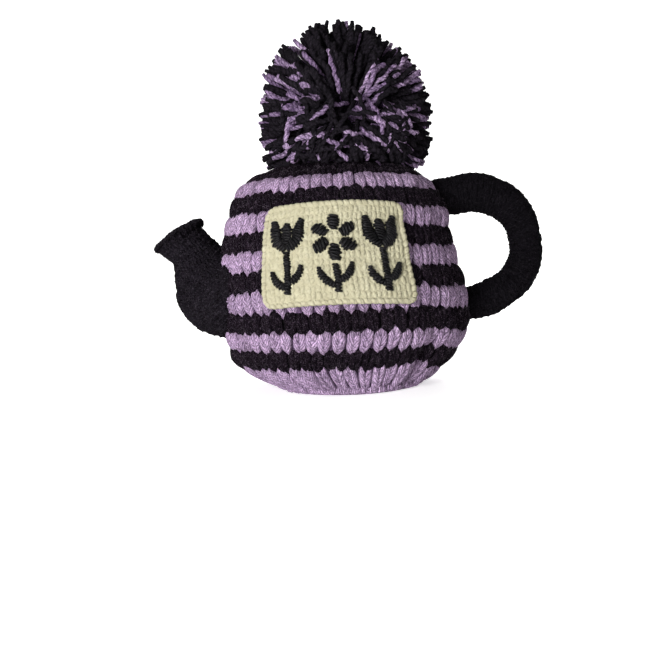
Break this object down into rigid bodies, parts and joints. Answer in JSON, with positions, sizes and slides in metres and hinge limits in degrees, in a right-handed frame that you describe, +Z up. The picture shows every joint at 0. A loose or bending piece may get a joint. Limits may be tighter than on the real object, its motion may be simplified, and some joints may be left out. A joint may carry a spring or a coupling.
{
  "type": "crocheted tea cosy",
  "caption": "Striped crochet cosy shaped like a teapot, with a stuffed spout and handle, a plain panel and a pompom, that covers a pot and stands on its open hem.",
  "frame": {"origin": "Middle of the whole part's box in plan, on the surface that the hem stands on", "axes": "+Z up; +X from the spout to the handle; -Y is the front, with the panel"},
  "size_m": [0.3078, 0.1904, 0.2848],
  "materials": {
    "lilac_yarn": "matt wool, chunky crochet stripes",
    "dark_yarn": "matt plum-black wool with fine pale fibres",
    "black_yarn": "matt black wool",
    "cream_yarn": "matt cream wool"
  },
  "bodies": {
    "root": {"body": "lilac_yarn", "spout": "dark_yarn", "handle": "black_yarn", "panel": "cream_yarn", "pompom": "dark_yarn"}
  },
  "joints": []
}
